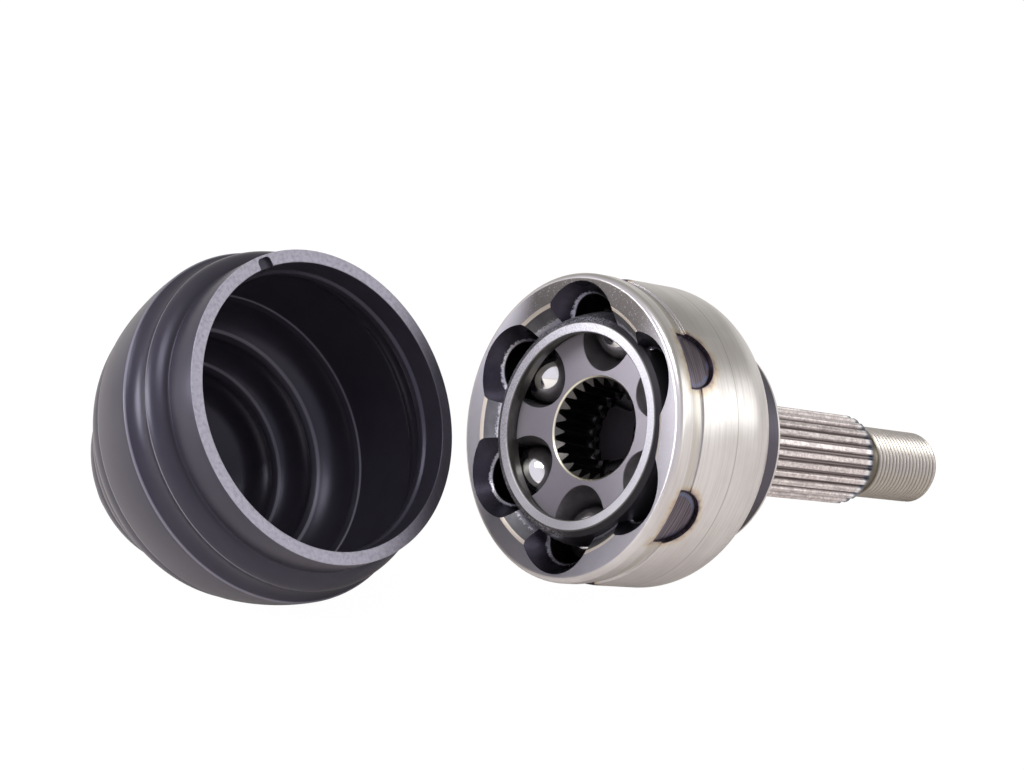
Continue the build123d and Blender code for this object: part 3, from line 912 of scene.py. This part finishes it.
def stem_thread():
    """The thread, cut as a real helix."""
    turns = (stem_end_x - 0.9 - thread_start_x - thread_pitch) / thread_pitch
    x = thread_start_x + 0.15
    root, crest = thread_radius - thread_depth - 0.05, thread_radius
    flank = [(x, root), (x + 0.60, crest - 0.02), (x + 0.68, crest), (x + 0.80, crest), (x + 0.88, crest - 0.02),
             (x + 1.48, root)]
    bm = bmesh.new()
    chain = [bm.verts.new((a, b, 0)) for a, b in flank]
    edges = [bm.edges.new(pair) for pair in zip(chain, chain[1:])]
    steps = int(turns * 72)
    bmesh.ops.spin(bm, geom=chain + edges, cent=(0, 0, 0), axis=(1, 0, 0), dvec=(thread_pitch / 72, 0, 0),
                   angle=2 * pi * steps / 72, steps=steps, use_merge=False, use_duplicate=False)
    bmesh.ops.recalc_face_normals(bm, faces=bm.faces)
    thread = to_object(bm, "stem_thread", finishes["thread_steel"])
    return placed(thread, LAID, "outer_race")


# Cage, inner race, balls

def rounded_block(size, middle, along, corner, segments):
    """A block whose edges along one of its directions are rounded."""
    bm = bmesh.new()
    bmesh.ops.create_cube(bm, size=1, matrix=middle @ Matrix.Diagonal((*size, 1)))
    upright = [e for e in bm.edges if abs(e.verts[0].co[along] - e.verts[1].co[along]) > 1]
    bmesh.ops.bevel(bm, geom=upright, offset=corner, offset_type="OFFSET", segments=segments, profile=0.5,
                    affect="EDGES", clamp_overlap=True, material=-1)
    return bm


def cage():
    """Ball cage: a spherical ring with six windows."""
    face_r = sqrt(cage_outer_radius ** 2 - cage_half_width ** 2) - cage_bevel
    edge_x = cage_half_width - cage_bevel
    bore_x = sqrt(cage_inner_radius ** 2 - cage_mouth_radius ** 2)
    lip = 0.3
    outline = centred_arc(cage_outer_radius, -edge_x, edge_x, 40)
    outline += [(cage_half_width, face_r), (cage_half_width, cage_mouth_radius + lip),
                (cage_half_width - lip, cage_mouth_radius)]
    outline += centred_arc(cage_inner_radius, bore_x, -bore_x, 36)
    outline += [(-cage_half_width + lip, cage_mouth_radius), (-cage_half_width, cage_mouth_radius + lip),
                (-cage_half_width, face_r)]
    ring = to_object(spun(outline, middle_turn, closed=True), "ball_cage", finishes["cage_steel"])
    window = rounded_block((2 * window_half_width, 14.0, 2 * window_half_length),
                           Matrix.Translation((0, 28, 0)), 1, window_corner, 8)
    cut(ring, to_object(six(window), "window_tool", finishes["cage_steel"]))
    placed(ring, LAID_CAGE, "cage", 30)
    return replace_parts(ring, "cage")


def race_cutters():
    """Cutters for the inner race: ball grooves, splined bore, its two bevels and the circlip's groove."""
    start, end = -race_front_width, race_rear_width
    root_r, crest_r = race_spline_root_radius, race_bore_radius
    bevel_r = crest_r + 0.5
    groove_end_x = circlip_groove_x + circlip_groove_width
    tooth = [(0.0, root_r), (0.06, root_r), (0.34, crest_r - 0.1), (0.40, crest_r), (0.60, crest_r),
             (0.66, crest_r - 0.1), (0.94, root_r)]
    grooves = six(track_tube(track_offset, ball_radius + inner_track_clearance, *inner_track_sweep))
    yield to_object(grooves, "groove_tool", finishes["race_steel"])
    bore = splined_bar(start - 3, 26, tooth, race_spline_teeth)
    yield to_object(bore, "bore_tool", finishes["bore_steel"])
    turned = {
        "front_bevel": [(start - 1, 0), (start - 1, bevel_r + 1), (start + bevel_r, 0)],
        "rear_bevel": [(end - bevel_r, 0), (end + 1, bevel_r + 1), (end + 1, 0)],
        "clip_groove": [(circlip_groove_x, 0), (circlip_groove_x, circlip_groove_radius),
                        (groove_end_x, circlip_groove_radius), (groove_end_x, 0)]}
    for name, outline in turned.items():
        yield to_object(spun(outline, small_turn), name, finishes["bore_steel"])


def inner_race():
    """Inner race: a sphere between two faces, with six ball grooves and a splined bore."""
    front_r = sqrt(race_sphere_radius ** 2 - race_front_width ** 2)
    rear_r = sqrt(race_sphere_radius ** 2 - race_rear_width ** 2)
    outline = [(-race_front_width, 0), (-race_front_width, front_r - 0.4)]
    outline += centred_arc(race_sphere_radius, -race_front_width + 0.25, race_rear_width - 0.25, 32)
    outline += [(race_rear_width, rear_r - 0.4), (race_rear_width, 0)]
    star = to_object(spun(outline, middle_turn), "star_race", finishes["race_steel"])
    cut(star, *race_cutters())
    placed(star, LAID_RACE, "inner_race", 26)
    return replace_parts(star, "inner_race")


def ball(index):
    """One ball, where its solid lies."""
    name = f"ball_{index + 1}"
    low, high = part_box(name)
    bm = bmesh.new()
    bmesh.ops.create_icosphere(bm, subdivisions=5, radius=ball_radius)
    bm.transform(Matrix.Translation((low + high) * 500))
    round_ball = to_object(bm, f"steel_{name}", finishes["ball_chrome"])
    placed(round_ball, Matrix.Identity(4), name)
    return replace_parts(round_ball, name)


# Boot

def boot_outline():
    """Outline of the boot's whole section, from its rim round the outside and back through the inside."""
    end_x = boot_neck_x + boot_small_length
    mouth_bore = boot_mouth_radius - boot_rim_wall
    bead_end = boot_bead_place + boot_bead_width
    bead_r = mouth_bore - boot_bead_height
    collar_x = boot_collar_length
    step_r = boot_mouth_radius - 0.3
    band_r = boot_small_radius - 0.7
    rim = (0, mouth_bore + 1.0)
    outside = [rim, (0, boot_mouth_radius), (collar_x - 0.7, boot_mouth_radius), (collar_x - 0.5, step_r),
               (collar_x - 0.2, step_r), *boot_wall_line(0)]
    small_end = [(boot_neck_x - 0.4, boot_small_radius), (boot_neck_x + 2.0, boot_small_radius),
                 (boot_neck_x + 2.1, band_r), (end_x - 2.1, band_r), (end_x - 2.0, boot_small_radius),
                 (end_x, boot_small_radius), (end_x, boot_small_bore), (boot_neck_x, boot_small_bore)]
    inside = [*boot_wall_line(boot_wall)[::-1], (collar_x, mouth_bore), (bead_end, mouth_bore),
              (bead_end - 0.8, bead_r), (boot_bead_place + 0.8, bead_r), (boot_bead_place, mouth_bore),
              (0, mouth_bore), rim]
    return softened(outside + small_end + inside, 0.3)[:-1]


def boot():
    """Rubber boot turned about its axis, with a bead inside its mouth and a small index notch in its rim."""
    thing = to_object(spun(boot_outline(), fine_turn, closed=True), "rubber_boot", finishes["boot_rubber"])
    size = (2 * boot_notch_depth, boot_rim_wall + 1, boot_notch_width)
    place = boot_mouth_radius - boot_rim_wall + size[1] / 2 - 1.6
    notch = rounded_block(size, Matrix.Translation((0, place, 0)), 0, 1.2, 5)
    notch.transform(Matrix.Rotation(radians(boot_notch_turn), 4, "X"))
    cut(thing, to_object(notch, "notch_tool", finishes["boot_rubber"]))
    placed(thing, BOOT, "boot", 40)
    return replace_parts(thing, "boot")


# Stage

def light(name, size, place, target, power, colour=(1, 1, 1)):
    lamp = bpy.data.lights.new(name, "AREA")
    lamp.shape = "RECTANGLE"
    lamp.size, lamp.size_y = size
    lamp.energy = power
    lamp.color = colour
    thing = bpy.data.objects.new(name, lamp)
    thing.location = place
    thing.rotation_euler = (Vector(target) - Vector(place)).to_track_quat("-Z", "Y").to_euler()
    bpy.context.scene.collection.objects.link(thing)


def white_behind(tree, shader, strength, share):
    """Let the camera see plain white in place of part of a shader."""
    path = tree.nodes.new("ShaderNodeLightPath")
    glow = tree.nodes.new("ShaderNodeEmission")
    glow.inputs["Strength"].default_value = strength
    mixed = tree.nodes.new("ShaderNodeMixShader")
    factor = tree.nodes.new("ShaderNodeMath")
    factor.operation = "MULTIPLY"
    factor.inputs[1].default_value = share
    tree.links.new(path.outputs["Is Camera Ray"], factor.inputs[0])
    tree.links.new(factor.outputs[0], mixed.inputs[0])
    tree.links.new(shader.outputs[0], mixed.inputs[1])
    tree.links.new(glow.outputs[0], mixed.inputs[2])
    return mixed


def surface():
    """Plain pale floor that glows softly and looks white to the camera."""
    bm = bmesh.new()
    bmesh.ops.create_grid(bm, x_segments=1, y_segments=1, size=3.0,
                          matrix=Matrix.Translation((0, 0, floor_height() * 0.001)))
    material = bpy.data.materials.new("pale_floor")
    material.use_nodes = True
    tree = material.node_tree
    paper = tree.nodes["Principled BSDF"]
    paper.inputs["Base Color"].default_value = (0.78, 0.745, 0.715, 1)
    paper.inputs["Roughness"].default_value = 0.8
    paper.inputs["Emission Color"].default_value = (0.15, 0.14, 0.135, 1)
    paper.inputs["Emission Strength"].default_value = 1.0
    mixed = white_behind(tree, paper, 1.04, 0.94)
    tree.links.new(mixed.outputs[0], tree.nodes["Material Output"].inputs["Surface"])
    to_object(bm, "floor", material)


def room_colour(tree):
    """Colour of the room by direction: darker upwards, pale violet towards the mouth's side."""
    coordinates = tree.nodes.new("ShaderNodeTexCoord")
    split = tree.nodes.new("ShaderNodeSeparateXYZ")
    tree.links.new(coordinates.outputs["Generated"], split.inputs[0])
    height = tree.nodes.new("ShaderNodeValToRGB")
    height.color_ramp.elements.new(0.35)
    height.color_ramp.elements.new(0.6)
    for element, (place, colour) in zip(height.color_ramp.elements, room_shades):
        element.position = place
        element.color = (*colour, 1)
    tree.links.new(split.outputs[2], height.inputs[0])
    side = tree.nodes.new("ShaderNodeMapRange")
    side.inputs["From Min"].default_value = 0.1
    side.inputs["From Max"].default_value = -0.6
    tree.links.new(split.outputs[0], side.inputs["Value"])
    tinted = tree.nodes.new("ShaderNodeMix")
    tinted.data_type = "RGBA"
    tinted.inputs[7].default_value = room_violet
    tree.links.new(side.outputs["Result"], tinted.inputs[0])
    tree.links.new(height.outputs[0], tinted.inputs[6])
    return tinted.outputs[2]


def room():
    """The room that the metal mirrors, plain white to the camera, and three soft lamps."""
    world = bpy.data.worlds.new("room")
    bpy.context.scene.world = world
    world.use_nodes = True
    tree = world.node_tree
    soft = tree.nodes["Background"]
    tree.links.new(room_colour(tree), soft.inputs["Color"])
    bright = tree.nodes.new("ShaderNodeBackground")
    bright.inputs["Color"].default_value = (1, 1, 1, 1)
    path = tree.nodes.new("ShaderNodeLightPath")
    mixed = tree.nodes.new("ShaderNodeMixShader")
    tree.links.new(path.outputs["Is Camera Ray"], mixed.inputs[0])
    tree.links.new(soft.outputs[0], mixed.inputs[1])
    tree.links.new(bright.outputs[0], mixed.inputs[2])
    tree.links.new(mixed.outputs[0], tree.nodes["World Output"].inputs["Surface"])
    light("overhead", (0.5, 0.3), (-0.35, -0.25, 0.8), (0, 0, 0), 3.0)
    light("left_window", (0.5, 0.36), (-0.86, 0.50, 0.30), (-0.04, 0.02, 0), 5.0)
    light("right_window", (0.9, 0.42), (0.62, -0.76, 0.30), (0.02, 0, 0), 2.0, (1.0, 0.99, 0.975))


def camera():
    lens = bpy.data.cameras.new("photo")
    lens.sensor_width = sensor_width
    lens.lens = focal_pixels / frame_pixels * sensor_width
    lens.clip_start, lens.clip_end = 0.01, 20
    eye = bpy.data.objects.new("photo", lens)
    eye.location = camera_place
    eye.rotation_euler = Vector(camera_forward).to_track_quat("-Z", "Y").to_euler()
    bpy.context.scene.collection.objects.link(eye)
    bpy.context.scene.camera = eye


finishes = {make.__name__: make() for make in (
    turned_steel, mouth_steel, seat_steel, forged_steel, pocket_steel, shoulder_steel, spline_steel, thread_steel,
    cage_steel, race_steel, bore_steel, ball_chrome, spring_steel, boot_rubber)}

for piece in (bell, stem_spline, stem_tip, stem_thread, cage, inner_race):
    piece()
for number in range(ball_count):
    ball(number)
boot()
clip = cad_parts["circlip"]
clip.data.materials.clear()
clip.data.materials.append(finishes["spring_steel"])
surface()
room()
camera()
bpy.context.scene.view_settings.view_transform = "Standard"
